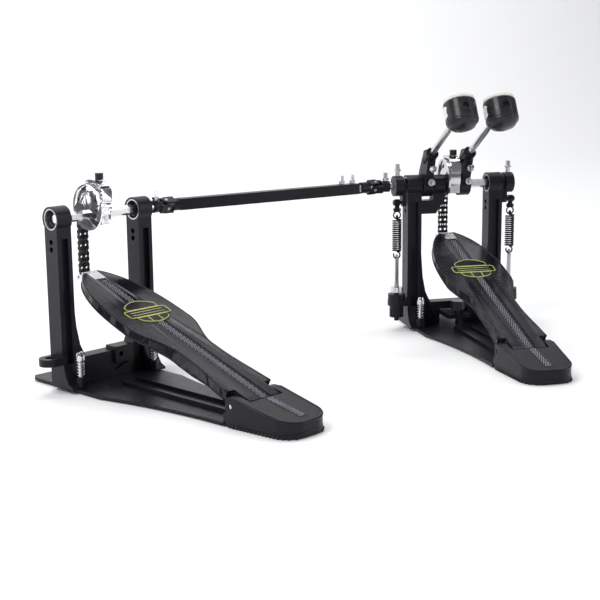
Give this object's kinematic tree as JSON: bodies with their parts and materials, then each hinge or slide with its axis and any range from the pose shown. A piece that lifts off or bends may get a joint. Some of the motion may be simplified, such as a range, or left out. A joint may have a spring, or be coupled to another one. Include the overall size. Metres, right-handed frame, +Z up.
{
  "type": "bass drum pedal",
  "caption": "Double bass drum pedal: master pedal with felt beaters, slave pedal, chain-driven cams, return springs and a telescoping drive shaft with universal joints.",
  "frame": {"origin": "on the floor, on the underside of the front sole, straight below the middle of the master pedal's axle", "axes": "+X along the master pedal's axle to the player's right, +Y from the heel towards the bass drum's hoop, +Z up"},
  "size_m": [0.6291, 0.486, 0.307],
  "materials": {
    "black_coat": "satin black powder coat",
    "board_coat": "semi-gloss black lacquer",
    "black_plastic": "moulded gloss black",
    "sole_rubber": "ribbed matt rubber",
    "tread_rubber": "stippled grey grip strip",
    "chrome": "polished chrome plate",
    "bearing_steel": "ground steel",
    "chain_steel": "oiled black steel",
    "spring_steel": "black spring wire",
    "felt": "pressed white wool felt"
  },
  "bodies": {
    "master_frame": {"master_base_plate": "black_coat", "master_sole": "sole_rubber", "master_heel_block": "black_coat", "master_heel_pin": "chrome", "master_posts": "black_coat", "master_crossbar": "black_coat", "master_bearings": "bearing_steel", "master_centre_bracket": "black_coat", "master_spring_adjusters": "black_coat"},
    "master_spurs": {"master_spurs": "chrome"},
    "hoop_jaw": {"hoop_jaw": "black_coat"},
    "hoop_screw": {"hoop_screw": "black_plastic"},
    "master_board": {"master_footboard": "board_coat", "master_tread": "tread_rubber", "master_toe_plate": "chrome"},
    "master_chain": {"master_chain": "chain_steel"},
    "master_chain_lead": {"master_chain_lead": "chain_steel"},
    "master_drive": {"master_axle": "chrome", "master_cam": "chrome", "master_chain_wrap": "chain_steel", "right_hub": "black_coat", "right_hanger": "black_coat", "right_key_bolts": "chrome"},
    "right_swivel": {"right_swivel": "black_coat"},
    "right_spring": {"right_spring": "spring_steel"},
    "right_beater": {"right_beater_shaft": "chrome", "right_beater_head": "black_plastic", "right_beater_felt": "felt"},
    "left_drive": {"left_axle": "chrome", "left_hub": "black_coat", "left_hanger": "black_coat", "left_key_bolts": "chrome"},
    "left_swivel": {"left_swivel": "black_coat"},
    "left_spring": {"left_spring": "spring_steel"},
    "left_beater": {"left_beater_shaft": "chrome", "left_beater_head": "black_plastic", "left_beater_felt": "felt"},
    "slave_frame": {"slave_base_plate": "black_coat", "slave_sole": "sole_rubber", "slave_heel_block": "black_coat", "slave_heel_pin": "chrome", "slave_posts": "black_coat", "slave_crossbar": "black_coat", "slave_bearings": "bearing_steel"},
    "slave_spurs": {"slave_spurs": "chrome"},
    "slave_board": {"slave_footboard": "board_coat", "slave_tread": "tread_rubber", "slave_toe_plate": "chrome"},
    "slave_chain": {"slave_chain": "chain_steel"},
    "slave_chain_lead": {"slave_chain_lead": "chain_steel"},
    "slave_drive": {"slave_axle": "chrome", "slave_cam": "chrome", "slave_chain_wrap": "chain_steel", "slave_key_bolts": "chrome"},
    "drive_tube": {"drive_tube": "black_coat", "drive_tube_bolts": "chrome"},
    "drive_rod": {"drive_rod": "chrome"},
    "slave_cross": {"slave_cross": "chrome"},
    "master_cross": {"master_cross": "chrome"}
  },
  "joints": [
    {"name": "master_pedal", "type": "hinge", "parent": "master_frame", "child": "master_board", "pos_m": [0, -0.235, 0.021], "axis": [-1, 0, 0], "range_deg": [0, 6.27]},
    {"name": "master_chain_toe", "type": "hinge", "parent": "master_board", "child": "master_chain", "pos_m": [-0.0035, 0.026, 0.11395], "axis": [-1, 0, 0], "range_deg": [-6.72, 0]},
    {"name": "master_chain_bend", "type": "hinge", "parent": "master_chain", "child": "master_chain_lead", "pos_m": [-0.0035, 0.026, 0.195], "axis": [-1, 0, 0], "range_deg": [0, 14.71]},
    {"name": "master_drive", "type": "hinge", "parent": "master_frame", "child": "master_drive", "pos_m": [0, 0, 0.185], "axis": [-1, 0, 0], "range_deg": [0, 55], "stiffness_Nm_per_rad": 0.25, "springref_deg": -68.75},
    {"name": "right_swivel_pivot", "type": "hinge", "parent": "master_drive", "child": "right_swivel", "pos_m": [0.077, -0.006, 0.1645], "axis": [-1, 0, 0], "range_deg": [-64.71, 0]},
    {"name": "right_spring_stretch", "type": "slide", "parent": "right_swivel", "child": "right_spring", "axis": [0, 0, -1], "range_m": [0, 0.01487], "deforming": ["right_spring"]},
    {"name": "right_beater_height", "type": "slide", "parent": "master_drive", "child": "right_beater", "axis": [0, -0.866, 0.5], "range_m": [-0.008, 0.01]},
    {"name": "slave_spacing", "type": "slide", "parent": "master_frame", "child": "slave_frame", "axis": [-0.9356, -0.3531, 0], "range_m": [-0.003, 0.04]},
    {"name": "slave_pedal", "type": "hinge", "parent": "slave_frame", "child": "slave_board", "pos_m": [-0.3367, -0.35353, 0.021], "axis": [-0.8406, -0.5417, 0], "range_deg": [0, 6.27]},
    {"name": "slave_chain_toe", "type": "hinge", "parent": "slave_board", "child": "slave_chain", "pos_m": [-0.48103, -0.13604, 0.11395], "axis": [-0.8406, -0.5417, 0], "range_deg": [-6.72, 0]},
    {"name": "slave_chain_bend", "type": "hinge", "parent": "slave_chain", "child": "slave_chain_lead", "pos_m": [-0.48103, -0.13604, 0.195], "axis": [-0.8406, -0.5417, 0], "range_deg": [0, 14.71]},
    {"name": "slave_drive", "type": "hinge", "parent": "slave_frame", "child": "slave_drive", "pos_m": [-0.464, -0.156, 0.185], "axis": [-0.8406, -0.5417, 0], "range_deg": [0, 55], "stiffness_Nm_per_rad": 0.25, "springref_deg": -68.75},
    {"name": "left_drive", "type": "hinge", "parent": "master_frame", "child": "left_drive", "pos_m": [0, 0, 0.185], "axis": [-1, 0, 0], "range_deg": [0, 52.96], "stiffness_Nm_per_rad": 0.25, "springref_deg": -68.75},
    {"name": "left_swivel_pivot", "type": "hinge", "parent": "left_drive", "child": "left_swivel", "pos_m": [-0.077, -0.006, 0.1645], "axis": [-1, 0, 0], "range_deg": [-62.58, 0]},
    {"name": "left_spring_stretch", "type": "slide", "parent": "left_swivel", "child": "left_spring", "axis": [0, 0, -1], "range_m": [0, 0.01412], "deforming": ["left_spring"]},
    {"name": "left_beater_height", "type": "slide", "parent": "left_drive", "child": "left_beater", "axis": [0, -0.866, 0.5], "range_m": [-0.008, 0.01]},
    {"name": "drive_tube_turn", "type": "hinge", "parent": "slave_frame", "child": "drive_tube", "pos_m": [-0.38583, -0.10562, 0.185], "axis": [-0.9356, -0.3531, 0], "range_deg": [0, 56.06]},
    {"name": "drive_rod_turn", "type": "hinge", "parent": "master_frame", "child": "drive_rod", "pos_m": [-0.106, 0, 0.185], "axis": [-0.9356, -0.3531, 0], "range_deg": [0, 56.06]},
    {"name": "slave_cross_pivot", "type": "hinge", "parent": "slave_drive", "child": "slave_cross", "pos_m": [-0.38583, -0.10562, 0.185], "axis": [-0.4805, 0.7456, 0.4617], "range_deg": [0, 11.33]},
    {"name": "master_cross_pivot", "type": "hinge", "parent": "left_drive", "child": "master_cross", "pos_m": [-0.106, 0, 0.185], "axis": [0, 0.8951, 0.4459], "range_deg": [-19.11, 0]},
    {"name": "hoop_clamp", "type": "hinge", "parent": "master_frame", "child": "hoop_jaw", "pos_m": [0, 0.02, 0.017], "axis": [1, 0, 0], "range_deg": [-5, 0]},
    {"name": "hoop_screw_turn", "type": "hinge", "parent": "hoop_jaw", "child": "hoop_screw", "pos_m": [0, -0.024, 0.026], "axis": [0, 0, 1], "continuous": true},
    {"name": "master_spur_height", "type": "slide", "parent": "master_frame", "child": "master_spurs", "axis": [0, 0, 1], "range_m": [-0.005, 0.006]},
    {"name": "slave_spur_height", "type": "slide", "parent": "slave_frame", "child": "slave_spurs", "axis": [0, 0, 1], "range_m": [-0.005, 0.006]}
  ],
  "couplings": [
    {"joint": "master_chain_toe", "follows": "master_pedal", "ratio": -1.0717},
    {"joint": "master_chain_bend", "follows": "master_pedal", "ratio": 2.3468},
    {"joint": "master_drive", "follows": "master_pedal", "ratio": 8.7719},
    {"joint": "right_swivel_pivot", "follows": "master_pedal", "ratio": -10.321},
    {"joint": "right_spring_stretch", "follows": "master_pedal", "m_per_rad": 0.13585},
    {"joint": "slave_chain_toe", "follows": "slave_pedal", "ratio": -1.0717},
    {"joint": "slave_chain_bend", "follows": "slave_pedal", "ratio": 2.3468},
    {"joint": "slave_drive", "follows": "slave_pedal", "ratio": 8.7719},
    {"joint": "left_drive", "follows": "slave_pedal", "ratio": 8.4464},
    {"joint": "left_swivel_pivot", "follows": "slave_pedal", "ratio": -9.9811},
    {"joint": "left_spring_stretch", "follows": "slave_pedal", "m_per_rad": 0.129},
    {"joint": "drive_tube_turn", "follows": "slave_pedal", "ratio": 8.9418},
    {"joint": "drive_rod_turn", "follows": "slave_pedal", "ratio": 8.9418},
    {"joint": "slave_cross_pivot", "follows": "slave_pedal", "ratio": 1.8065},
    {"joint": "master_cross_pivot", "follows": "slave_pedal", "ratio": -3.0473}
  ]
}
